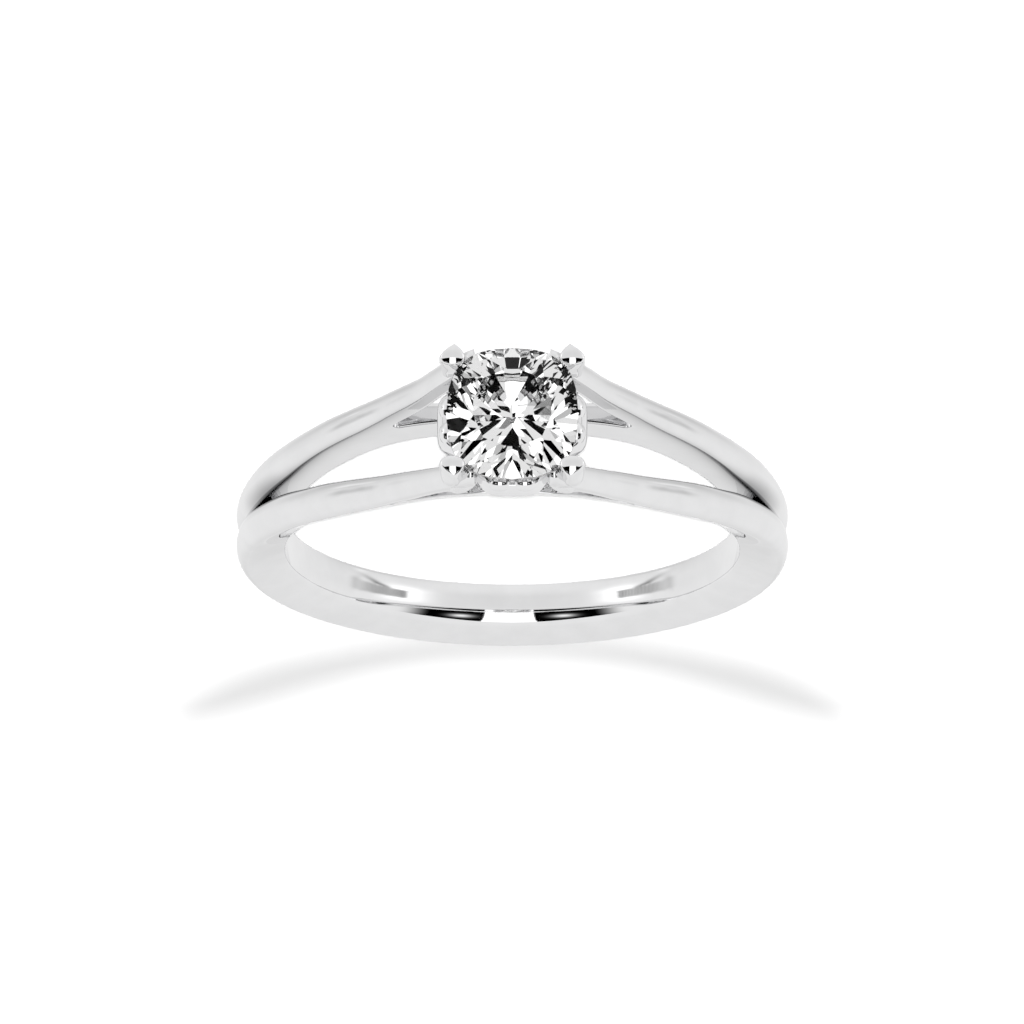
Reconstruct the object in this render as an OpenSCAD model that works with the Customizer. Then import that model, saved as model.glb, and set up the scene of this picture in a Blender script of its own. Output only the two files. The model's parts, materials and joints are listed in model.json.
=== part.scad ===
// Split shank ring with one cushion-cut stone, lying on its side as it rests by itself.
// Modelled with the finger's axis along z, x across the hand and the head towards -y,
// then leaned over until the head and the back of the band both touch z = 0.

/* [Finger hole and band] */
// Diameter of the finger hole
finger_d = 17.3; // [15.5:0.1:21]
// Thickness of the band, from the finger to its outer ridge
band_t = 1.85; // [1.5:0.05:2.4]
// Greatest width of the band at the back, along the finger
band_w = 2.46; // [2.2:0.02:3]
// Width of the band's flat inner face at the back
inner_face_w = 1.26; // [1:0.02:1.6]
// Depth of the groove between the two ridges where the split begins
groove_d = 0.12; // [0.05:0.01:0.2]

/* [Split shoulders] */
// Width over both strands where they meet the claws
spread_w = 5.14; // [4.6:0.02:5.8]
// Width of one strand at the claws
strand_w = 0.82; // [0.7:0.02:1]
// Thickness of one strand above the window
strand_t = 0.9; // [0.7:0.02:1]
// Width of the gap between the two lower rails
rail_gap = 2.14; // [1.8:0.02:2.4]
// Width of a lower rail at the finger
rail_w = 0.34; // [0.3:0.02:0.5]
// Thickness of a lower rail
rail_t = 1.6; // [1.3:0.05:1.7]

/* [Stone] */
// Size of the stone across the hand, at its girdle
stone_w = 4.9; // [4.6:0.05:5.3]
// Size of the stone along the finger, at its girdle
stone_l = 5.12; // [4.8:0.05:5.5]
// Height of the girdle above the finger
stone_h = 5.3; // [5:0.05:6]
// Thickness of the girdle
girdle_t = 0.14; // [0.1:0.01:0.2]
// Height of the crown above the girdle
crown_t = 0.66; // [0.5:0.02:0.8]
// Depth of the pavilion below the girdle
pavilion_t = 2.1; // [1.9:0.02:2.3]
// Gap between the stone and the metal that holds it
seat_gap = 0.1; // [0.1:0.01:0.15]

/* [Basket and claws] */
// Distance from the stone's middle to a claw's middle, across the hand
claw_x = 2.25; // [2.1:0.05:2.5]
// Distance from the stone's middle to a claw's middle, along the finger
claw_z = 2.24; // [2.1:0.05:2.5]
// Diameter of a claw's leg
leg_d = 0.84; // [0.7:0.02:1]
// Rise of a claw's tip above the girdle's middle
tip_t = 0.62; // [0.5:0.02:0.8]
// Reach of a side petal from the stone's middle, across the hand
petal_x = 2.96; // [2.85:0.01:3.1]
// Reach of a front or back petal from the stone's middle, along the finger
petal_z = 2.82; // [2.75:0.01:3]
// Length of a petal along the stone's side
petal_w = 2.5; // [2.2:0.05:2.7]
// Height of the collar that carries the petals
collar_t = 0.62; // [0.5:0.02:0.8]
// Drop of the collar's top below the girdle's middle
collar_drop = 0.95; // [0.8:0.05:1.1]
// Width of the metal around the collar's opening, at the middle of a side
collar_w = 0.6; // [0.45:0.05:0.8]
// Diameter of a side bead
bead_d = 0.52; // [0.4:0.02:0.6]
// Distance between the two side beads of one petal
bead_pitch = 1; // [0.8:0.05:1.2]

/* [Hidden] */
$fn = 96;

finger_r = finger_d / 2;
outer_r = finger_r + band_t;
girdle_h = finger_r + stone_h;
// What is cut by the finger hole starts this far inside it
bore_spare = 0.3;
// The two halves of the band overlap by this much at the middle of its width
half_lap = 0.04;

// Where a strand's top meets its claw
joint_h = girdle_h - 0.7;
joint_r = norm([claw_x, joint_h]);
joint_angle = atan(claw_x / joint_h);
slot_end = spread_w / 2 - strand_w;

// The shank from a claw round to the back, one row a section.
// Angle past the claw in degrees, then shares:
// half slot at the top, of slot_end;
// half slot at the finger, of half the rail gap;
// outer side, from the band's half width to half the spread;
// outer edge at the finger, from half the inner face to the rail's outer edge;
// top, from the band's ridge to the claw;
// drop of the outer side's widest line below the top, of the band's thickness.
ANGLE = 0;
SLOT_TOP = 1;
SLOT_FOOT = 2;
SIDE = 3;
FOOT = 4;
RISE = 5;
DROP = 6;
SHANK = [
    [-2.5, 1.09, 1.00, 1.05, 1.00, 1.190, 0.16],
    [0.0, 1.00, 1.00, 1.00, 1.00, 1.000, 0.16],
    [3.0, 0.91, 1.00, 0.88, 1.00, 0.810, 0.16],
    [7.5, 0.79, 1.00, 0.75, 1.00, 0.560, 0.17],
    [11.0, 0.72, 1.00, 0.67, 1.00, 0.420, 0.18],
    [15.0, 0.65, 0.98, 0.60, 1.00, 0.300, 0.20],
    [18.3, 0.60, 0.98, 0.55, 1.00, 0.220, 0.22],
    [23.5, 0.52, 0.95, 0.50, 0.93, 0.130, 0.25],
    [32.0, 0.40, 0.83, 0.39, 0.75, 0.060, 0.30],
    [40.5, 0.28, 0.68, 0.24, 0.60, 0.020, 0.34],
    [48.5, 0.14, 0.54, 0.15, 0.53, 0.010, 0.36],
    [56.5, 0.06, 0.38, 0.08, 0.50, 0.000, 0.36],
    [64.5, 0.02, 0.18, 0.03, 0.34, 0.000, 0.36],
    [72.5, 0.00, 0.00, 0.00, 0.15, 0.000, 0.36],
    [90.0, 0.00, 0.00, 0.00, 0.00, 0.000, 0.36],
    [180.0, 0.00, 0.00, 0.00, 0.00, 0.000, 0.36]
];
// Angle past the claw at which the window between strand and lower rail ends
window_end = 18.2;
// Angles past the claw of the sections, closer together where the shape changes
SECTIONS = [-2.5, 0, 3, 5, 7.5, 11, 15, 18.1, 18.4, 23.5, 28, 32, 36, 40.5, 44.5,
    48.5, 52.5, 56.5, 60.5, 64.5, 68.5, 72.5];
back_step = 9;

function column(angle, i) = lookup(angle, [for (row = SHANK) [row[ANGLE], row[i]]]);
function mix(a, b, share) = a + (b - a) * share;

// The groove is deepest where the split begins and runs out on either side
groove_angle = 72.5;
groove_run = 40;
function groove(angle) = groove_d * max(0, 1 - abs(angle - groove_angle) / groove_run);

// Two points of the outer side: shares of the way from its foot to its widest line
SIDE_LOW = [0.62, 0.4];
SIDE_HIGH = [0.92, 0.75];

// One section of the half shank: distance from the band's middle, distance from the axis
function section(angle) =
    let (
        slot_top = slot_end * column(angle, SLOT_TOP),
        slot_foot = rail_gap / 2 * column(angle, SLOT_FOOT),
        side = mix(band_w / 2, spread_w / 2, column(angle, SIDE)),
        foot = mix(inner_face_w / 2, rail_gap / 2 + rail_w, column(angle, FOOT)),
        top = mix(outer_r, joint_r, column(angle, RISE)),
        wide = top - band_t * column(angle, DROP),
        above = angle < window_end,
        under = above ? top - strand_t : finger_r - bore_spare,
        inner = above ? slot_top : slot_foot,
        outer = above ? side - 0.3 * strand_w : foot,
        spare = above ? 0 : bore_spare * SIDE_LOW[0] / SIDE_LOW[1],
        bottom = outer - spare * (side - foot) / (wide - finger_r),
        ridge = mix(slot_top, side, 0.46),
        split = slot_top > 0
    )
    [
        [split ? inner : -half_lap, under],
        [bottom, under],
        [mix(outer, side, SIDE_LOW[0]), mix(max(under, finger_r), wide, SIDE_LOW[1])],
        [mix(outer, side, SIDE_HIGH[0]), mix(max(under, finger_r), wide, SIDE_HIGH[1])],
        [side, wide],
        [mix(ridge, side, cos(30)), mix(wide, top, sin(30))],
        [mix(ridge, side, cos(60)), mix(wide, top, sin(60))],
        [ridge, top],
        [mix(slot_top, ridge, 0.45), top - 0.02],
        [split ? slot_top : -half_lap, top - 0.05 - groove(angle)]
    ];

function on_ring(point, turn) = [point[1] * sin(turn), -point[1] * cos(turn), point[0]];

// Turns of all the sections, from the left claw round the back to the right claw
half_turns = concat(
    [for (a = SECTIONS) joint_angle + a],
    [for (t = [joint_angle + 82 : back_step : 175]) t]
);
turns = concat(
    [for (t = half_turns) t],
    [180],
    [for (i = [len(half_turns) - 1 : -1 : 0]) 360 - half_turns[i]]
);

// One strand, from claw to claw round the back, with half of the band's width
module half_shank() {
    rings = [for (t = turns) let (a = min(t, 360 - t) - joint_angle)
        [for (p = section(a)) on_ring(p, t)]];
    n = len(rings[0]);
    last = len(rings) - 1;
    polyhedron(
        points = [for (ring = rings) each ring],
        faces = concat(
            [[for (i = [0 : n - 1]) i]],
            [for (k = [0 : last - 1]) for (i = [0 : n - 1])
                let (j = (i + 1) % n) each [
                    [k * n + i, k * n + n + i, k * n + j],
                    [k * n + j, k * n + n + i, k * n + n + j]
                ]],
            [[for (i = [n - 1 : -1 : 0]) last * n + i]]
        )
    );
}

// A lower rail follows the finger under the head, from one shoulder to the other
module rail() {
    reach = joint_angle + window_end + 6;
    rotate([0, 0, -90 - reach])
        rotate_extrude(angle = 2 * reach)
            polygon([
                [finger_r - 2 * bore_spare, rail_gap / 2],
                [finger_r - 2 * bore_spare, rail_gap / 2 + 0.3 * rail_w],
                [finger_r + 0.55 * rail_t, rail_gap / 2 + 2 * rail_w],
                [finger_r + 0.9 * rail_t, rail_gap / 2 + 2.3 * rail_w],
                [finger_r + rail_t, rail_gap / 2 + 2.1 * rail_w],
                [finger_r + rail_t, rail_gap / 2]
            ]);
}

// Stands what is drawn upright on the head: its z is the height above the finger's axis
module on_head(height) {
    translate([0, -height, 0]) rotate([90, 0, 0]) children();
}

module four_corners() {
    for (sx = [0, 1], sz = [0, 1])
        mirror([sx, 0, 0]) mirror([0, 0, sz]) children();
}

// A leg leans in from the claw to the rail that carries it
module leg() {
    top = [claw_x, -girdle_h, claw_z];
    base = [claw_x * 0.88, -(finger_r + rail_t * 0.55), rail_gap / 2 + rail_w];
    along = top - base;
    translate(base)
        rotate([0, 0, atan2(along[1], along[0])])
            rotate([0, 90 - asin(along[2] / norm(along)), 0])
                cylinder(d = leg_d, h = norm(along), $fn = 24);
}

// A claw's tip: broad over the stone's corner, pointed away from it along the finger
module claw_tip() {
    ball = leg_d * 0.3;
    hull() {
        translate([claw_x + 0.26, -girdle_h - 0.2, claw_z - 0.26]) sphere(r = ball, $fn = 16);
        translate([claw_x - 0.24, -girdle_h - 0.25, claw_z - 0.24]) sphere(r = ball, $fn = 16);
        translate([claw_x - 0.06, -girdle_h - 0.05, claw_z + 0.28]) sphere(r = ball, $fn = 16);
        translate([claw_x - 0.02, -girdle_h - tip_t + ball, claw_z - 0.08])
            sphere(r = ball, $fn = 16);
    }
}

// Outline of the collar: a round plate behind the claws with a petal on each side
module collar_outline() {
    petal(petal_x);
    rotate(180) petal(petal_x);
    rotate(90) petal(petal_z);
    rotate(270) petal(petal_z);
    circle(r = norm([claw_x, claw_z]) * 0.88);
}

// One petal along +x, bowed at its outer side
module petal(reach) {
    bow_r = 3.2;
    intersection() {
        translate([reach - bow_r, 0]) circle(r = bow_r);
        translate([reach / 2, 0]) square([reach + 1, petal_w], center = true);
    }
}

module collar() {
    on_head(petal_h)
        linear_extrude(collar_t)
            difference() {
                collar_outline();
                circle(r = petal_z - 1.6 * collar_w);
            }
}

// Two beads on each petal, close under the stone's edge
module beads() {
    for (s = [-1, 1], t = [-1, 1]) {
        translate([s * (petal_x - 0.34), 0, t * bead_pitch / 2]) bead();
        translate([t * bead_pitch / 2, 0, s * (petal_z - 0.3)]) bead();
    }
}

module bead() {
    on_head(girdle_h - collar_drop - 0.1) {
        cylinder(d = bead_d, h = 0.24, $fn = 24);
        translate([0, 0, 0.24]) sphere(d = bead_d, $fn = 24);
    }
}

// The stone, grown on all sides by a margin for the seat that is cut for it
module stone(margin = 0) {
    // Height over the girdle's middle, share of the girdle's size, number of corners and turn
    half_g = girdle_t / 2 + margin;
    levels = [
        [half_g + crown_t, 0.60, 8, 22.5],
        [half_g + crown_t * 0.62, 0.81, 8, 0],
        [half_g, 1.00, 16, 11.25],
        [-half_g, 1.00, 16, 11.25],
        [-half_g - pavilion_t * 0.38, 0.60, 8, 0],
        [-half_g - pavilion_t, 0.02, 8, 22.5]
    ];
    on_head(girdle_h)
        hull()
            for (level = levels)
                translate([0, 0, level[0]])
                    linear_extrude(0.001, center = true)
                        polygon([for (i = [0 : level[2] - 1])
                            cushion(level[3] + i * 360 / level[2], level[1], margin)]);
}

// A point of the cushion outline: a square with rounded corners and bowed sides
function cushion(turn, share, margin) =
    let (
        bow = 2.7,
        reach = pow(pow(abs(cos(turn)), bow) + pow(abs(sin(turn)), bow), -1 / bow)
    )
    [
        (stone_w / 2 * share + margin) * reach * cos(turn),
        (stone_l / 2 * share + margin) * reach * sin(turn)
    ];

// The side of the head and the back of the band touch the floor together
petal_h = girdle_h - collar_drop - collar_t;
back_h = outer_r - band_t * column(180, DROP);
lean = atan((petal_z - band_w / 2) / (petal_h + back_h));
lift = petal_z * cos(lean) - petal_h * sin(lean);
// The ring's middle, from the stone's table to the back of the band, goes over the origin
table_h = girdle_h + girdle_t / 2 + crown_t;
shift = (table_h - outer_r) / 2 * cos(lean) + stone_l * 0.1 * sin(lean);

module laid_down() {
    translate([0, shift, lift]) rotate([-lean, 0, 0]) children();
}

module ring_setting() {
    color("gainsboro")
        laid_down()
            difference() {
                union() {
                    half_shank();
                    mirror([0, 0, 1]) half_shank();
                    rail();
                    mirror([0, 0, 1]) rail();
                    four_corners() {
                        leg();
                        claw_tip();
                    }
                    collar();
                    beads();
                }
                cylinder(r = finger_r, h = 3 * band_w, center = true);
                stone(seat_gap);
            }
}

module centre_stone() {
    color("white") laid_down() stone();
}

ring_setting();
centre_stone();
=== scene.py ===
import math

import bmesh
import bpy
from mathutils import Matrix, Vector
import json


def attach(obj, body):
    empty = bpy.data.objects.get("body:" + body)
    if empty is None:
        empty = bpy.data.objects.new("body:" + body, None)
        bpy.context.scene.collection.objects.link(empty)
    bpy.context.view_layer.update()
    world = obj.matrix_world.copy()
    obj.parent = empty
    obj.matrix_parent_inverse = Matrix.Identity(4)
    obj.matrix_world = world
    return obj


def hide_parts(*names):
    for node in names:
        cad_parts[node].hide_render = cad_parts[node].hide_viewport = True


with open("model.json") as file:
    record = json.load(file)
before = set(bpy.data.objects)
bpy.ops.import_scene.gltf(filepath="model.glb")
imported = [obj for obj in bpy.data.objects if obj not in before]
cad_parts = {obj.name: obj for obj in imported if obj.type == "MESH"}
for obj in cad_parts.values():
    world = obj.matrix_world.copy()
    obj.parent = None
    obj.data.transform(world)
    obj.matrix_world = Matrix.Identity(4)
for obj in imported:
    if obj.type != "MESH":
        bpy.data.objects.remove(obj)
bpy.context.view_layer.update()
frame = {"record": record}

# The ring's own axes. It is drawn standing, in millimetres: x across the hand,
# y along the finger, z up to the stone, with the finger hole's middle at 0.
# LAID puts it down on its side, where the frame's finger hole is.

finger_hole = frame["record"]["mounts"][0]
across = Vector((1, 0, 0))
along_finger = Vector(finger_hole["axis"]).normalized()
to_stone = across.cross(along_finger)
TURN = Matrix((across, along_finger, to_stone)).transposed()
LAID = Matrix.Translation(finger_hole["pos_m"]) @ TURN.to_4x4() @ Matrix.Scale(0.001, 4)


# The shank, one casting of white metal. A plain band at the back parts into two
# strands at each shoulder. They rise to the claws, and below them a thin rail
# follows the finger, with a narrow window between strand and rail.

finger_r = finger_hole["dims"]["r_mm"]
SLOT, SLOT_FOOT, SIDE, FOOT, TOP, DIP, DROP, KNEE = range(1, 9)
# Angle from the stone in degrees, then millimetres: half slot at the top, half
# slot at the finger, half width, foot at the finger, crest from the axis, dip
# of the slot's edge below the crest, drop of the widest line below the crest,
# and how far out from the axis the slot's wall starts to widen.
SHANK = [
    (0.0, 2.10, 1.07, 2.66, 1.41, 14.50, 0.20, 0.30, 10.2),
    (5.0, 2.00, 1.07, 2.65, 1.41, 14.20, 0.20, 0.30, 10.2),
    (9.6, 1.75, 1.07, 2.57, 1.41, 13.44, 0.20, 0.30, 10.2),
    (12.6, 1.60, 1.07, 2.46, 1.39, 12.90, 0.20, 0.30, 10.2),
    (17.1, 1.385, 1.07, 2.30, 1.38, 12.14, 0.22, 0.32, 10.2),
    (20.6, 1.262, 1.07, 2.24, 1.37, 11.74, 0.22, 0.34, 10.2),
    (24.6, 1.15, 1.06, 2.17, 1.36, 11.38, 0.23, 0.37, 10.2),
    (27.9, 1.05, 1.05, 2.12, 1.35, 11.13, 0.24, 0.41, 10.0),
    (33.1, 0.905, 1.017, 2.05, 1.29, 10.88, 0.25, 0.46, 9.4),
    (41.6, 0.70, 0.888, 1.93, 1.13, 10.68, 0.27, 0.54, 8.8),
    (50.1, 0.49, 0.728, 1.77, 1.01, 10.56, 0.38, 0.58, finger_r),
    (58.1, 0.26, 0.578, 1.63, 0.96, 10.52, 0.48, 0.58, finger_r),
    (66.1, 0.13, 0.40, 1.51, 0.92, 10.50, 0.52, 0.56, finger_r),
    (74.1, 0.05, 0.19, 1.38, 0.87, 10.50, 0.44, 0.52, finger_r),
    (81.8, 0.00, 0.00, 1.29, 0.815, 10.50, 0.28, 0.48, finger_r),
    (90.0, 0.00, 0.00, 1.24, 0.77, 10.50, 0.18, 0.43, finger_r),
    (99.6, 0.00, 0.00, 1.215, 0.74, 10.50, 0.11, 0.39, finger_r),
    (120.0, 0.00, 0.00, 1.20, 0.71, 10.50, 0.03, 0.34, finger_r),
    (180.0, 0.00, 0.00, 1.20, 0.71, 10.50, 0.02, 0.32, finger_r),
]
# Where the crest lies between the slot's edge and the side, and how the side
# draws in towards the finger
crest_share, side_flare = 0.46, 1.35
# The window's point, then how many degrees the strand and the rail take to come
# apart there, from a line this share of the way up the wall
window_end, strand_opens, rail_opens, window_line = 25.9, 1.4, 0.8, 0.77
strand_t, rail_top = 0.87, 10.13
# Rounding of the window's edges, and how much more the rail has in the slot
window_rim, slot_rim_ratio = 0.07, 1.8
# Between these angles the split's two edges turn into the sides of a soft groove
groove_from, groove_by = 80, 102
# The finger's side is rounded for comfort, more and more towards the back: the
# radius, the flat middle, and what each stretch between two angles adds
comfort_r, comfort_flat = 1.1, 0.15
COMFORT = [(0.3, 88, 128), (0.7, 128, 172)]
# Rounding of the foot's edge and power of the crown's curve on the slot's side:
# near the head, further round, and the two angles between
FOOT_ROUND = (0.13, 0.05, 45, 60)
SLOT_CURVE = (0.8, 1.1, 35, 60)
slot_foot_round = 0.05
# Power of the crown's curve on its outer side, and how much fuller that is along
# the shoulder, which rises and falls between the angles
side_curve, side_fuller = 0.95, 0.17
shoulder_rises, shoulder_falls = (18, 30), (80, 60)
crown_steps = 14


def mix(a, b, share):
    return a + (b - a) * share


def share_of(x, start, end):
    # how far x has come from start to end, from 0 to 1
    return min(max((x - start) / (end - start), 0), 1)


def ease(x, start, end):
    t = share_of(x, start, end)
    return t * t * (3 - 2 * t)


def stations(start, end, steps):
    return [mix(start, end, k / steps) for k in range(steps + 1)]


def rounded(corner, steps):
    # the curve from a corner's first point to its last, led by the one between
    a, b, c = (Vector(point) for point in corner)
    return [tuple(a * (1 - t) ** 2 + b * 2 * t * (1 - t) + c * t * t) for t in stations(0, 1, steps)]


def slope(rows, k, i):
    if k in (0, len(rows) - 1):
        return 0.0
    before, here, after = rows[k - 1], rows[k], rows[k + 1]
    left = (here[i] - before[i]) / (here[0] - before[0])
    right = (after[i] - here[i]) / (after[0] - here[0])
    if left * right <= 0:
        return 0.0
    return 2 * left * right / (left + right)


def column(rows, angle, i):
    # one column's value at an angle, on a smooth curve through the rows
    angle = max(angle, rows[0][0])
    k = max(j for j in range(len(rows) - 1) if rows[j][0] <= angle)
    a, b = rows[k], rows[k + 1]
    span = b[0] - a[0]
    t = (angle - a[0]) / span
    return (
        a[i] * (1 + 2 * t) * (1 - t) ** 2
        + slope(rows, k, i) * span * t * (1 - t) ** 2
        + b[i] * t * t * (3 - 2 * t)
        + slope(rows, k + 1, i) * span * t * t * (t - 1)
    )


def on_ring(angle, u, r):
    a = math.radians(angle)
    return Vector((r * math.sin(a), u, r * math.cos(a)))


def opened(angle, run):
    # how far the window's rounded end has opened, from 0 at its point to 1
    s = share_of(angle, window_end, window_end - run)
    return math.sqrt(1 - (1 - s) ** 2)


def section(angle):
    # half of the cut across the shank at an angle, as named runs of points that
    # lie u along the finger from the middle and r out from the axis
    slot, slot_foot, side, foot, top, dip, drop, knee = (
        column(SHANK, angle, i) for i in range(SLOT, KNEE + 1)
    )
    edge, wide = top - dip, top - drop
    crest = mix(slot, side, crest_share)
    window = mix(finger_r, wide, window_line)
    over = mix(window, top - strand_t, opened(angle, strand_opens))
    under = mix(window, rail_top, opened(angle, rail_opens))
    rim = window_rim * share_of(angle, window_end, window_end - rail_opens)
    groove = share_of(angle, groove_from, groove_by)
    comfort = sum(more * ease(angle, start, end) for more, start, end in COMFORT)
    foot_round = mix(*FOOT_ROUND[:2], ease(angle, *FOOT_ROUND[2:]))
    slot_round = min(slot_foot / 2, slot_foot_round)
    slot_power = mix(*SLOT_CURVE[:2], ease(angle, *SLOT_CURVE[2:]))
    side_power = side_curve - side_fuller * ease(angle, *shoulder_rises) * ease(angle, *shoulder_falls)

    def bore(u):
        return finger_r + comfort * max(u - comfort_flat, 0) ** 2 / (2 * comfort_r)

    def outer(r):
        return mix(side, foot, share_of(r, wide, finger_r) ** side_flare)

    def inner(r):
        return mix(slot_foot, slot, share_of(r, knee, edge))

    def ledge(level, side_rim, slot_rim):
        # a flat face from side to slot. Its rims round it up, or below 0 down,
        # into the two walls.
        side_r, slot_r = level + side_rim, level + slot_rim
        o, i = outer(side_r), inner(slot_r)
        flat_from, flat_to = o - abs(side_rim), i + abs(slot_rim)
        run = rounded(((o, side_r), (o, level), (flat_from, level)), 4)
        run += [(u, level) for u in stations(flat_from, flat_to, 4)[1:-1]]
        return run + rounded(((flat_to, level), (i, level), (i, slot_r)), 4)

    crown = []
    for share in stations(0, 1, crown_steps):
        a = math.radians(90) * (1 - share)
        split_u = mix(crest, slot, math.sin(a) ** slot_power)
        split_r = mix(edge, top, math.cos(a) ** slot_power)
        groove_u = mix(slot, crest, share)
        groove_r = mix(edge, top, (1 - math.cos(math.pi * share)) / 2)
        crown.append((mix(split_u, groove_u, groove), mix(split_r, groove_r, groove)))
    for share in stations(0, 1, crown_steps)[1:]:
        a = math.radians(90) * share
        u = mix(crest, side, math.sin(a) ** side_power)
        crown.append((u, mix(wide, top, math.cos(a) ** side_power)))
    crown += [(outer(r), r) for r in stations(wide, over + rim, 5)[1:]]

    side_r, foot_in = bore(foot) + foot_round, foot - foot_round
    side_run = [(outer(r), r) for r in stations(under - rim, side_r, 6)]
    side_run += rounded(((outer(side_r), side_r), (foot, bore(foot)), (foot_in, bore(foot_in))), 6)[1:]
    wall_r, slot_out = finger_r + slot_round, slot_foot + slot_round
    slot_run = rounded(((slot_out, finger_r), (slot_foot, finger_r), (slot_foot, wall_r)), 3)
    slot_run += [(inner(r), r) for r in stations(wall_r, under - rim * slot_rim_ratio, 5)[1:]]
    runs = {
        "crown": crown,
        "side": side_run,
        "finger": [(u, bore(u)) for u in stations(foot_in, slot_out, 10)],
        "slot low": slot_run,
        "slot high": [(inner(r), r) for r in stations(over + rim, edge, 6)],
        "belly": ledge(over, rim, rim),
        "deck": ledge(under, -rim, -rim * slot_rim_ratio),
    }
    return {name: [on_ring(angle, u, r) for u, r in run] for name, run in runs.items()}


def skin(bm, rows):
    # joins each row of points to the next, as one surface
    chains = []
    for row in rows:
        verts = [bm.verts.new(point) for point in row]
        chains.append([bm.edges.new(pair) for pair in zip(verts, verts[1:])])
    for first, second in zip(chains, chains[1:]):
        bmesh.ops.bridge_loops(bm, edges=first + second)


def everything(bm):
    return bm.verts[:] + bm.edges[:] + bm.faces[:]


def both_halves(bm, axis):
    bmesh.ops.mirror(bm, geom=everything(bm), axis=axis, merge_dist=1e-4)


def close_holes(bm):
    bmesh.ops.holes_fill(bm, edges=[edge for edge in bm.edges if edge.is_boundary], sides=0)


# The angles of the cuts. They lie close together at the window's point, and
# closer along the shoulder than round the band.
strand_start, shoulder_end, back = 6.0, 60, 180
under_head = [0, 1.5, 3.0, 4.5]
near_point = [window_end - before for before in (strand_opens, 1.0, 0.66, 0.4, 0.2, 0.08, 0.02, 0)]
strand_steps = stations(strand_start, near_point[0], 13)[:-1] + near_point
band_steps = stations(window_end, shoulder_end, 24) + stations(shoulder_end, back, 80)[1:]
cuts = {angle: section(angle) for angle in under_head + strand_steps + band_steps}

shank_mesh = bmesh.new()
whole = strand_steps + band_steps[1:]
spans = {
    "crown": whole,
    "slot high": whole,
    "belly": strand_steps,
    "deck": under_head + strand_steps,
    "side": under_head + whole,
    "finger": under_head + whole,
    "slot low": under_head + whole,
}
for run, angles in spans.items():
    skin(shank_mesh, [cuts[angle][run] for angle in angles])
bmesh.ops.remove_doubles(shank_mesh, verts=shank_mesh.verts, dist=1e-4)
inside_wall = [face for face in shank_mesh.faces if all(abs(vert.co.y) < 1e-4 for vert in face.verts)]
bmesh.ops.delete(shank_mesh, geom=inside_wall, context="FACES")
both_halves(shank_mesh, "Y")
both_halves(shank_mesh, "X")
close_holes(shank_mesh)

# Painted shade in the split: its edge and the walls near its tip are darkened where
# the split shades itself: angle, how dark, and how close that keeps to the slot's edge
SLOT_SHADE = [(14, 0, 9), (22, 0.33, 9), (32, 0.38, 9), (41, 0.45, 9), (50, 0.58, 9), (54, 0.66, 6),
    (58, 0.7, 4), (62, 0.72, 2), (67, 0.7, 1.5), (74, 0.38, 1.4), (80, 0, 1.4), (180, 0, 1.4)]
# how soon the painted shade fades below the slot's edge
slot_shade_depth = 0.35
painted_slot_shade = shank_mesh.verts.layers.float.new("painted_slot_shade")
for vert in shank_mesh.verts:
    x, y, z = vert.co
    angle, r = math.degrees(math.atan2(abs(x), z)), math.hypot(x, z)
    slot, side, top, dip = (column(SHANK, angle, i) for i in (SLOT, SIDE, TOP, DIP))
    crest, edge = mix(slot, side, crest_share), top - dip
    shade_here, closeness = column(SLOT_SHADE, angle, 1), column(SLOT_SHADE, angle, 2)
    if abs(y) > crest:
        shade_here = 0
    elif r > edge:
        shade_here *= share_of(abs(y), crest, slot) ** closeness
    else:
        shade_here *= math.exp((r - edge) / slot_shade_depth)
    vert[painted_slot_shade] = shade_here

# The metal is polished to a mirror, with a faint haze that varies its tone and
# its roughness by these shares, and fine polishing lines. Scales are per metre.
metal_tones = ((0.35, (0.80, 0.80, 0.805, 1)), (0.65, (0.83, 0.83, 0.835, 1)))
# The near-black that the painted shade in the split darkens the metal's colour towards
painted_shade_colour = (0.02, 0.02, 0.022, 1)
mirror_polish, least_rough, most_rough = 0.035, 0.7, 1.4
haze_scale, haze_detail = 900, 3
lines_scale, lines_detail, lines_strength, lines_depth_m = 30000, 2, 0.012, 0.00001


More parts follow.
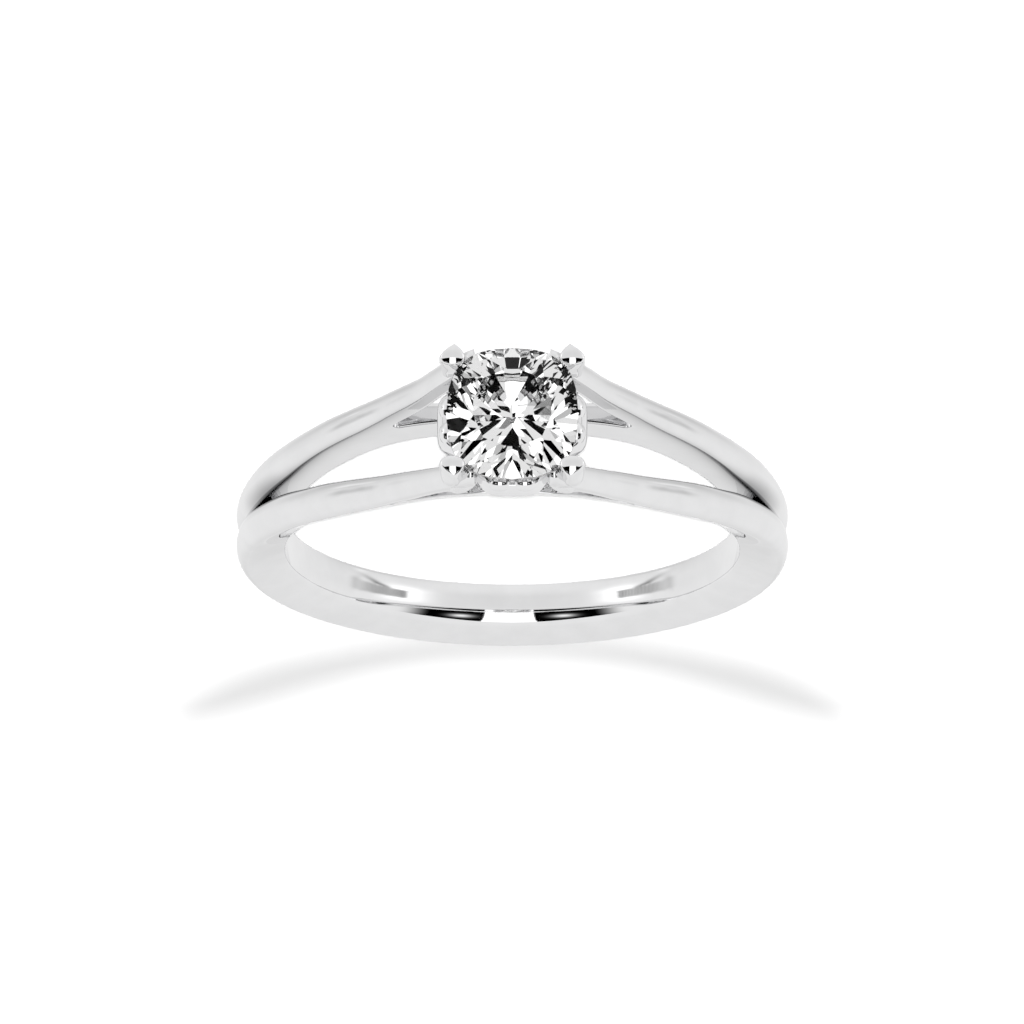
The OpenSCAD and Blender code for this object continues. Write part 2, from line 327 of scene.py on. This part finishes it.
def white_metal(name, roughness):
    material = bpy.data.materials.new(name)
    material.use_nodes = True
    nodes, links = material.node_tree.nodes, material.node_tree.links
    shader = nodes["Principled BSDF"]
    shader.inputs["Metallic"].default_value = 1.0
    where = nodes.new("ShaderNodeTexCoord")
    haze = nodes.new("ShaderNodeTexNoise")
    haze.inputs["Scale"].default_value = haze_scale
    haze.inputs["Detail"].default_value = haze_detail
    links.new(where.outputs["Object"], haze.inputs["Vector"])
    tone = nodes.new("ShaderNodeValToRGB")
    for stop, (position, colour) in zip(tone.color_ramp.elements, metal_tones):
        stop.position = position
        stop.color = colour
    links.new(haze.outputs["Fac"], tone.inputs["Fac"])
    # Painted shade: the split's shade layer darkens the metal's colour towards the near-black
    painted_shade_amount = nodes.new("ShaderNodeAttribute")
    painted_shade_amount.attribute_name = "painted_slot_shade"
    darken = nodes.new("ShaderNodeMix")
    darken.data_type = "RGBA"
    darken.inputs["B"].default_value = painted_shade_colour
    links.new(painted_shade_amount.outputs["Fac"], darken.inputs["Factor"])
    links.new(tone.outputs["Color"], darken.inputs["A"])
    links.new(darken.outputs["Result"], shader.inputs["Base Color"])
    gloss = nodes.new("ShaderNodeMapRange")
    gloss.inputs["To Min"].default_value = roughness * least_rough
    gloss.inputs["To Max"].default_value = roughness * most_rough
    links.new(haze.outputs["Fac"], gloss.inputs["Value"])
    links.new(gloss.outputs["Result"], shader.inputs["Roughness"])
    lines = nodes.new("ShaderNodeTexNoise")
    lines.inputs["Scale"].default_value = lines_scale
    lines.inputs["Detail"].default_value = lines_detail
    links.new(where.outputs["Object"], lines.inputs["Vector"])
    relief = nodes.new("ShaderNodeBump")
    relief.inputs["Strength"].default_value = lines_strength
    relief.inputs["Distance"].default_value = lines_depth_m
    links.new(lines.outputs["Fac"], relief.inputs["Height"])
    links.new(relief.outputs["Normal"], shader.inputs["Normal"])
    return material


def finish_piece(bm, name, material, smooth=True):
    # cleans a piece's mesh, lays it down with the ring and hands it to the frame
    bmesh.ops.remove_doubles(bm, verts=bm.verts, dist=1e-4)
    bmesh.ops.dissolve_degenerate(bm, edges=bm.edges, dist=1e-5)
    bmesh.ops.recalc_face_normals(bm, faces=bm.faces)
    bmesh.ops.transform(bm, matrix=LAID, verts=bm.verts)
    for face in bm.faces:
        face.smooth = smooth
    mesh = bpy.data.meshes.new(name)
    bm.to_mesh(mesh)
    bm.free()
    mesh.materials.append(material)
    piece = bpy.data.objects.new(name, mesh)
    bpy.context.collection.objects.link(piece)
    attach(piece, "root")
    return piece


polished = white_metal("polished white metal", mirror_polish)
shank = finish_piece(shank_mesh, "shank", polished)
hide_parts("ring_setting")


# The basket: a collar cast in one with the shank, under the stone's edge, with
# a rounded petal bulging out on each of the stone's four sides.

# One eighth of the collar's outline at its widest line, from a side's middle
PETAL = [(2.845, 0.0), (2.845, 0.40), (2.83, 0.68), (2.76, 0.92), (2.62, 1.10), (2.40, 1.24),
    (2.14, 1.44), (1.92, 1.73)]
# Height, and how far the outline is drawn in there: up the outside, over the
# flat top, down the inside and back to the start
COLLAR = [(12.18, 0.50), (12.24, 0.36), (12.36, 0.20), (12.50, 0.07), (12.66, 0.0), (12.82, 0.03),
    (12.98, 0.10), (13.10, 0.175), (13.17, 0.235), (13.19, 0.28), (13.19, 0.40), (13.17, 0.50),
    (13.0, 0.57), (12.8, 0.60), (12.5, 0.60), (12.25, 0.60), (12.18, 0.50)]


def collar_row(height, inset):
    quarter = PETAL + [(y, x) for x, y in reversed(PETAL)]
    row = []
    for cos, sin in ((1, 0), (0, 1), (-1, 0), (0, -1)):
        for x, y in quarter[:-1]:
            k = 1 - inset / math.hypot(x, y)
            row.append(Vector(((x * cos - y * sin) * k, (x * sin + y * cos) * k, height)))
    return row + row[:1]


basket_mesh = bmesh.new()
skin(basket_mesh, [collar_row(height, inset) for height, inset in COLLAR])
basket = finish_piece(basket_mesh, "basket", polished)
rounder = basket.modifiers.new("rounded", "SUBSURF")
rounder.levels = rounder.render_levels = 2


# Claw bumps: two small rounded pins on each petal, cast with the collar and
# burnished over against the stone's edge.

bump_out, bump_apart, bump_h = 2.42, 0.47, 13.05
bump_size = (0.34, 0.46, 0.29)


def lump(bm, spot, size):
    # a smooth lump with these half sizes
    bmesh.ops.create_icosphere(bm, subdivisions=4, radius=1, matrix=spot @ Matrix.Diagonal((*size, 1)))


bump_mesh = bmesh.new()
for side in range(4):
    turn = Matrix.Rotation(math.radians(90) * side, 4, "Z")
    for apart in (-bump_apart, bump_apart):
        lump(bump_mesh, turn @ Matrix.Translation((bump_out, apart, bump_h)), bump_size)
finish_piece(bump_mesh, "side_bumps", polished)


# The claws: four round posts, cast with the shank. They stand up from the rails
# through the strands' ends, and are filed over the stone's corners with a
# rounded cap that comes to a point away from it.

girdle_h = 13.95
claw_x, claw_y = 2.26, 2.12
cap_wide, cap_in, cap_out, cap_top = 0.49, 0.33, 0.55, 14.5
# How the cap's sides curve to its point, and how far in across the hand that lies
point_power, point_aside = 1.5, 0.09
# The cap's dome falls away to the sides, outwards past one line and inwards past
# another: twice the radius for each
dome_side, dome_out, dome_in = 2.15, 1.8, 1.4
dome_out_from, dome_in_from = 0.04, 0.01
# The post's height, and half its size across the hand and along the finger
POST = [(9.9, 0.33, 0.33), (10.6, 0.35, 0.35), (11.4, 0.37, 0.37), (12.3, 0.41, 0.40), (13.2, 0.44, 0.42)]
# Where the post stands, and how far its foot leans in towards the rail
post_y, lean_from, lean_x, lean_y = 2.24, 13.3, 0.25, 1.0
# The neck's height, and how far it has turned from the post into the cap
NECK = [(13.55, 0.5), (13.8, 0.9), (girdle_h, 1.0)]
# The size of each ring of the cap, and how far its edge is rounded down there
CAP = [(1.0, 0.1), (0.985, 0.05), (0.955, 0.016), (0.91, 0), (0.8, 0), (0.65, 0), (0.5, 0), (0.35, 0),
    (0.2, 0), (0.08, 0), (0, 0)]


def cap_outline():
    # the cap seen from above: an arc over the stone, a point away from it
    turns = [math.radians(turn) for turn in stations(0, 180, 15)]
    loop = [(cap_wide * math.cos(a), -cap_in * math.sin(a)) for a in turns]
    sides = [(cap_wide * (1 - t ** point_power), t) for t in stations(0, 1, 12)[1:]]
    loop += [(-x - point_aside * t, cap_out * t) for x, t in sides]
    loop += [(x - point_aside * t, cap_out * t) for x, t in reversed(sides[:-1])]
    return loop


def cap_height(x, y):
    out, back = max(y - dome_out_from, 0), max(dome_in_from - y, 0)
    return cap_top - x * x / dome_side - out * out / dome_out - back * back / dome_in


def post_ring(outline, height, wide, deep):
    low = share_of(height, lean_from, POST[0][0])
    middle_x, middle_y = claw_x - lean_x * low, post_y - lean_y * low
    turns = [math.atan2(y, x) for x, y in outline]
    return [(wide * math.cos(a) + middle_x, deep * math.sin(a) + middle_y, height) for a in turns]


outline = cap_outline()
rings = [post_ring(outline, *level) for level in POST]
for height, share in NECK:
    post = post_ring(outline, height, *POST[-1][1:])
    cap = [(x + claw_x, y + claw_y, height) for x, y in outline]
    rings.append([[mix(a, b, share) for a, b in zip(*pair)] for pair in zip(post, cap)])
for scale, drop in CAP:
    line = [(x * scale, y * scale) for x, y in outline]
    rings.append([(x + claw_x, y + claw_y, cap_height(x, y) - drop) for x, y in line])
claw_mesh = bmesh.new()
skin(claw_mesh, [ring + ring[:1] for ring in rings])
bmesh.ops.remove_doubles(claw_mesh, verts=claw_mesh.verts, dist=1e-4)
both_halves(claw_mesh, "Y")
both_halves(claw_mesh, "X")
finish_piece(claw_mesh, "claws", polished)


# The shoulders: where a strand's end, a claw and the basket run together, the
# cast metal swells into a smooth rounded boss, out of the polishing wheel's reach.

boss_x, boss_y, boss_h, boss_turn = 1.84, 2.3, 12.55, 24
boss_size = (0.58, 0.30, 0.52)
cast_finish = 0.24
as_cast = white_metal("cast white metal", cast_finish)

boss_mesh = bmesh.new()
for x, y in ((1, 1), (1, -1), (-1, 1), (-1, -1)):
    turn = Matrix.Rotation(math.radians(boss_turn * x * y), 4, "Z")
    lump(boss_mesh, Matrix.Translation((boss_x * x, boss_y * y, boss_h)) @ turn, boss_size)
finish_piece(boss_mesh, "shoulders", as_cast)


# The stone: a clear cushion-cut brilliant, ground facet by facet from a block
# with bowed sides and held in the claws by its edge.

# Half the stone's sizes and the power of its bowed outline, then heights from
# the girdle's middle, and the block that it is ground from
stone_x, stone_y, stone_bow = 2.45, 2.56, 2.7
girdle_half, table_z, culet_z, block = 0.07, 0.73, -2.17, 8
# Degrees from one main facet to the next, and from one fine facet to the next
main_turn, fine_turn = 45, 11.25
# How far from the middle each facet of the crown would meet the table, as a
# share of the way to the girdle
kite_in, half_in, star_in = 0.60, 0.66, 0.56
# Where a star facet's lower tip lies on the way in, and on the way up
star_tip_in, star_tip_up = 0.80, 0.56
# The lower facets aim deeper than the culet on the four sides, and also the
# further they are turned from the middle one of their fan
side_deeper = 1.06
LOWER = [(0, 1), (-6, 1.006), (6, 1.006), (-fine_turn, 1.022), (fine_turn, 1.022), (-17, 1.045),
    (17, 1.045)]


def stone_reach(turn):
    # how far the cushion outline reaches in a direction
    a, bow = math.radians(turn), stone_bow / (stone_bow - 1)
    c, s = stone_x * abs(math.cos(a)), stone_y * abs(math.sin(a))
    return (c ** bow + s ** bow) ** (1 / bow)


def grind(bm, turn, start, end):
    # cuts a flat facet through two points of the side view: (distance, height)
    a, (d0, z0), (d1, z1) = math.radians(turn), start, end
    rise = z1 - z0
    normal = Vector((math.cos(a) * abs(rise), math.sin(a) * abs(rise), math.copysign(d0 - d1, rise)))
    point = Vector((math.cos(a) * d0, math.sin(a) * d0, z0))
    cut = bmesh.ops.bisect_plane(bm, geom=everything(bm), dist=1e-5, plane_co=point, plane_no=normal,
        clear_outer=True)
    edges = [piece for piece in cut["geom_cut"] if isinstance(piece, bmesh.types.BMEdge)]
    if edges:
        bmesh.ops.contextual_create(bm, geom=edges)


stone_mesh = bmesh.new()
bmesh.ops.create_cube(stone_mesh, size=block)
for k in range(32):
    turn = fine_turn * (k + 0.5)
    reach = stone_reach(turn)
    grind(stone_mesh, turn, (reach, -1), (reach, 1))
for k in range(8):
    turn = main_turn * k
    reach = stone_reach(turn)
    deep = culet_z if k % 2 else culet_z * side_deeper
    grind(stone_mesh, turn, (reach, girdle_half), (reach * kite_in, table_z))
    for aside in (-fine_turn, fine_turn):
        reach = stone_reach(turn + aside)
        grind(stone_mesh, turn + aside, (reach, girdle_half), (reach * half_in, table_z))
    for aside, deeper in LOWER:
        reach = stone_reach(turn + aside)
        grind(stone_mesh, turn + aside, (reach, -girdle_half), (0, deep * deeper))
for k in range(8):
    turn = main_turn * (k + 0.5)
    reach = stone_reach(turn)
    tip = (reach * star_tip_in, mix(girdle_half, table_z, star_tip_up))
    grind(stone_mesh, turn, tip, (reach * star_in, table_z))
bmesh.ops.bisect_plane(stone_mesh, geom=everything(stone_mesh), dist=1e-5, plane_co=(0, 0, table_z),
    plane_no=(0, 0, 1), clear_outer=True)
close_holes(stone_mesh)
bmesh.ops.translate(stone_mesh, verts=stone_mesh.verts, vec=(0, 0, girdle_h))

gem = bpy.data.materials.new("clear stone")
gem.use_nodes = True
gem_shader = gem.node_tree.nodes["Principled BSDF"]
gem_shader.inputs["Base Color"].default_value = (0.99, 0.99, 0.99, 1)
gem_shader.inputs["Roughness"].default_value = 0.0
gem_shader.inputs["IOR"].default_value = 2.42
gem_shader.inputs["Transmission Weight"].default_value = 1.0
gem_shader.inputs["Specular Tint"].default_value = (0.05, 0.05, 0.05, 1)

# The girdle, the stone's upright edge, isn't polished: it is ground matt, with a
# fine grain
grain_scale, least_matt, most_matt = 12000, 0.25, 0.5
ground = gem.copy()
ground.name = "ground girdle"
nodes, links = ground.node_tree.nodes, ground.node_tree.links
where = nodes.new("ShaderNodeTexCoord")
grain = nodes.new("ShaderNodeTexNoise")
grain.inputs["Scale"].default_value = grain_scale
links.new(where.outputs["Object"], grain.inputs["Vector"])
matt = nodes.new("ShaderNodeMapRange")
matt.inputs["To Min"].default_value = least_matt
matt.inputs["To Max"].default_value = most_matt
links.new(grain.outputs["Fac"], matt.inputs["Value"])
links.new(matt.outputs["Result"], nodes["Principled BSDF"].inputs["Roughness"])
stone_mesh.normal_update()
for face in stone_mesh.faces:
    if abs(face.normal.z) < 0.01:
        face.material_index = 1

stone = finish_piece(stone_mesh, "cut_stone", gem, smooth=False)
stone.data.materials.append(ground)
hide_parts("centre_stone")


# The floor is plain and pale, and the ring lies on it. The metal and the stone
# don't see it, because each has a room of its own to see.

floor_half_m = 3
floor_tone, floor_rough = (0.95, 0.95, 0.95, 1), 0.9


def put_on_stage(bm, name, material, seen_by):
    mesh = bpy.data.meshes.new(name)
    bm.to_mesh(mesh)
    bm.free()
    mesh.materials.append(material)
    thing = bpy.data.objects.new(name, mesh)
    bpy.context.collection.objects.link(thing)
    thing.visible_camera = "camera" in seen_by
    thing.visible_diffuse = "diffuse" in seen_by
    thing.visible_glossy = "glossy" in seen_by
    thing.visible_transmission = "transmission" in seen_by
    thing.visible_shadow = "shadow" in seen_by


pale = bpy.data.materials.new("pale floor")
pale.use_nodes = True
pale.node_tree.nodes["Principled BSDF"].inputs["Base Color"].default_value = floor_tone
pale.node_tree.nodes["Principled BSDF"].inputs["Roughness"].default_value = floor_rough
floor_mesh = bmesh.new()
bmesh.ops.create_grid(floor_mesh, x_segments=1, y_segments=1, size=floor_half_m)
put_on_stage(floor_mesh, "floor", pale, ("camera", "diffuse", "shadow"))


# The camera has the photograph's view: almost straight down on the stone, a
# little from the side, through a long lens, with the head at the picture's top.

# From the finger's axis towards the stone
view_angle = math.radians(71.46)
view_distance, picture_width, film_width = 1100, 39.0, 36
aim_up, aim_left = 0.743, 0.01
nearest_m, furthest_m = 0.01, 20

view_back = Vector((0, math.cos(view_angle), math.sin(view_angle)))
view_up = Vector((0, -math.sin(view_angle), math.cos(view_angle)))
view_right = Vector((-1, 0, 0))
aim = view_up * aim_up - view_right * aim_left
camera_place = (TURN @ Matrix((view_right, view_up, view_back)).transposed()).to_4x4()
camera_place.translation = LAID @ (aim + view_back * view_distance)

camera_data = bpy.data.cameras.new("view")
camera_data.sensor_width = film_width
camera_data.lens = film_width * view_distance / picture_width
camera_data.clip_start = nearest_m
camera_data.clip_end = furthest_m
camera = bpy.data.objects.new("view", camera_data)
bpy.context.collection.objects.link(camera)
camera.matrix_world = camera_place
bpy.context.scene.camera = camera


# The studio light: even light from all round, one strong light behind the lens,
# and two weak ones just below it, which throw a faint shadow beside the band.
# The metal and the stone don't reflect any of the three.

# Each light's name, degrees below the lens, strength, and spread in degrees
LIGHTS = [("key", 0, 6.0, 1.3), ("low", 3, 0.45, 5), ("lowest", 7, 0.35, 5)]
even_light = 0.38
# Enough turns of light for the stone's facets and the tip of the split
metal_turns = 6

world = bpy.data.worlds.new("studio")
world.use_nodes = True
world.node_tree.nodes["Background"].inputs["Color"].default_value = (1, 1, 1, 1)
world.node_tree.nodes["Background"].inputs["Strength"].default_value = even_light
bpy.context.scene.world = world
bpy.context.scene.view_settings.view_transform = "Standard"
bpy.context.scene.cycles.glossy_bounces = metal_turns
for name, lower, power, spread in LIGHTS:
    sun_data = bpy.data.lights.new(name, "SUN")
    sun_data.energy = power
    sun_data.angle = math.radians(spread)
    sun = bpy.data.objects.new(name, sun_data)
    bpy.context.collection.objects.link(sun)
    sun.matrix_world = camera_place @ Matrix.Rotation(math.radians(-lower), 4, "X")
    sun.visible_glossy = False
    sun.visible_transmission = False


# A strip of gauze hangs between the lights and the ring, out of sight, so that a
# faint bowed shadow lies below the band. It widens outwards and then comes to a
# point at each end.

gauze_half, gauze_away, gauze_steps = 13.5, 40, 40
gauze_low, gauze_bow, bow_reach = 5.26, 1.03, 8.1
gauze_half_wide, gauze_wider = 0.34, 0.5
gauze_clear = (0.5, 0.5, 0.5, 1)

gauze_mesh = bmesh.new()
rows = []
for edge in (-1, 1):
    row = []
    for right in stations(-gauze_half, gauze_half, gauze_steps):
        bow = (right / bow_reach) ** 2
        wide = (gauze_half_wide + gauze_wider * bow) * (1 - (right / gauze_half) ** 4)
        up = edge * wide - gauze_low - gauze_bow * bow
        row.append(aim + view_right * right + view_up * up + view_back * gauze_away)
    rows.append(row)
skin(gauze_mesh, rows)
bmesh.ops.transform(gauze_mesh, matrix=LAID, verts=gauze_mesh.verts)

net = bpy.data.materials.new("gauze")
net.use_nodes = True
nodes, links = net.node_tree.nodes, net.node_tree.links
nodes.remove(nodes["Principled BSDF"])
veil = nodes.new("ShaderNodeBsdfTransparent")
veil.inputs["Color"].default_value = gauze_clear
links.new(veil.outputs["BSDF"], nodes["Material Output"].inputs["Surface"])
put_on_stage(gauze_mesh, "gauze", net, ("shadow",))


# The white room is what the metal reflects: a soft white sphere, with a dark card
# round the lens that has a bright opening in its middle. Its directions are two
# angles in degrees, from the stone's towards the near side and out to a side.

room_r, room_level = 800, 0.95
# The card's two ends, how far out it reaches, and where it starts to fade
card_far, card_near, card_out, card_fades = -6, 42, 60, 42
opening_left, opening_right, opening_level = -14, 10, 1.5
# Soft lights and shades: the two angles, the spread of each, and the change they
# make to the brightness
PATCHES = [
    (148, 0, 40, 24, -0.06),
    (178, 8, 14, 14, -0.13),
    (-178, 8, 14, 14, -0.13),
    (-108, 42, 26, 20, -0.27),
    (-130, 5, 25, 20, -0.15),
    (-25, 12, 22, 32, -0.11),
    (-34, 53, 16, 11, 0.7),
    (-93, 58, 6, 4, 0.16),
    (-86, 70, 7, 5, -0.15),
]
# A small lamp on each side of the card's opening
card_lamp = (23, 25, 5, 5, 1.1)
# Thin shades that lie as dark streaks in each end of the band's inside: the two
# angles along each line, and how much light it takes there
STREAKS = [
    [(-32, 53, 0.8), (-39, 60, 0.65), (-50, 66, 0.55), (-71, 71, 0.3), (-104, 71, 0)],
    [(-39, 60, 0.6), (-58, 63, 0.7), (-86, 62, 0.15), (-106, 62, 0)],
]
streak_width = 2.4


def directions(point):
    near = math.degrees(math.atan2(point.y, point.z))
    return near, math.degrees(math.asin(max(-1, min(1, point.x / point.length))))


def patch_change(near, out, patch):
    patch_near, patch_out, near_spread, out_spread, change = patch
    away = ((near - patch_near) / near_spread) ** 2 + ((out - patch_out) / out_spread) ** 2
    return change * math.exp(-away)


def streak_takes(near, out, line):
    taken = 0
    for (n0, o0, take0), (n1, o1, take1) in zip(line, line[1:]):
        along = (near - n0) * (n1 - n0) + (out - o0) * (o1 - o0)
        t = share_of(along, 0, (n1 - n0) ** 2 + (o1 - o0) ** 2)
        away = math.hypot(near - mix(n0, n1, t), out - mix(o0, o1, t))
        taken = max(taken, mix(take0, take1, t) * math.exp(-(away / streak_width) ** 2))
    return taken


def room_tone(middle, point):
    # the brightness at a point of a face, which the card takes or leaves whole
    near, out = directions(middle)
    in_card = card_far < near < card_near and abs(out) < card_out
    if in_card and opening_left < out < opening_right:
        return opening_level
    near, out = directions(point)
    out = abs(out)
    level = room_level + sum(patch_change(near, out, patch) for patch in PATCHES)
    if in_card:
        return patch_change(near, out, card_lamp) + level * ease(out, card_fades, card_out)
    return level * (1 - max(streak_takes(near, out, line) for line in STREAKS))


def sphere_round(radius):
    # a fine sphere round the ring, with its poles out at the hand's two sides
    bm = bmesh.new()
    bmesh.ops.create_uvsphere(bm, u_segments=240, v_segments=120, radius=radius)
    bmesh.ops.rotate(bm, verts=bm.verts, matrix=Matrix.Rotation(math.radians(90), 3, "Y"))
    return bm


def glowing(name):
    material = bpy.data.materials.new(name)
    material.use_nodes = True
    nodes = material.node_tree.nodes
    nodes.remove(nodes["Principled BSDF"])
    light = nodes.new("ShaderNodeEmission")
    material.node_tree.links.new(light.outputs["Emission"], nodes["Material Output"].inputs["Surface"])
    return material, light


room_mesh = sphere_round(room_r)
tone = room_mesh.loops.layers.float_color.new("tone")
for face in room_mesh.faces:
    middle = face.calc_center_median()
    for loop in face.loops:
        bright = room_tone(middle, loop.vert.co)
        loop[tone] = (bright, bright, bright, 1)
bmesh.ops.transform(room_mesh, matrix=LAID, verts=room_mesh.verts)

white_room, light = glowing("white room")
tones = white_room.node_tree.nodes.new("ShaderNodeAttribute")
tones.attribute_name = "tone"
white_room.node_tree.links.new(tones.outputs["Color"], light.inputs["Color"])
put_on_stage(room_mesh, "white room", white_room, ("glossy",))


# The sparkle room is what light leaving the stone sees: a second sphere of light
# and dark cells, which the facets break up into their glitter.

sparkle_r, cells_scale, cells_random = 700, 14.0, 0.9
# The brightness of the cells, each from this share of them on
CELL_TONES = [(0.0, 0.0), (0.2, 0.25), (0.24, 0.5), (0.32, 0.78), (0.74, 1.4)]

sparkle, light = glowing("sparkle room")
nodes, links = sparkle.node_tree.nodes, sparkle.node_tree.links
where = nodes.new("ShaderNodeTexCoord")
cells = nodes.new("ShaderNodeTexVoronoi")
cells.feature = "F1"
cells.inputs["Scale"].default_value = cells_scale
cells.inputs["Randomness"].default_value = cells_random
links.new(where.outputs["Object"], cells.inputs["Vector"])
chance = nodes.new("ShaderNodeSeparateColor")
links.new(cells.outputs["Color"], chance.inputs["Color"])
steps = nodes.new("ShaderNodeValToRGB")
steps.color_ramp.interpolation = "CONSTANT"
stops = steps.color_ramp.elements
for k, (position, level) in enumerate(CELL_TONES):
    stop = stops[k] if k < 2 else stops.new(position)
    stop.position = position
    stop.color = (level, level, level, 1)
links.new(chance.outputs["Red"], steps.inputs["Fac"])
links.new(steps.outputs["Color"], light.inputs["Color"])
sparkle_mesh = sphere_round(sparkle_r)
bmesh.ops.transform(sparkle_mesh, matrix=LAID, verts=sparkle_mesh.verts)
put_on_stage(sparkle_mesh, "sparkle room", sparkle, ("transmission",))
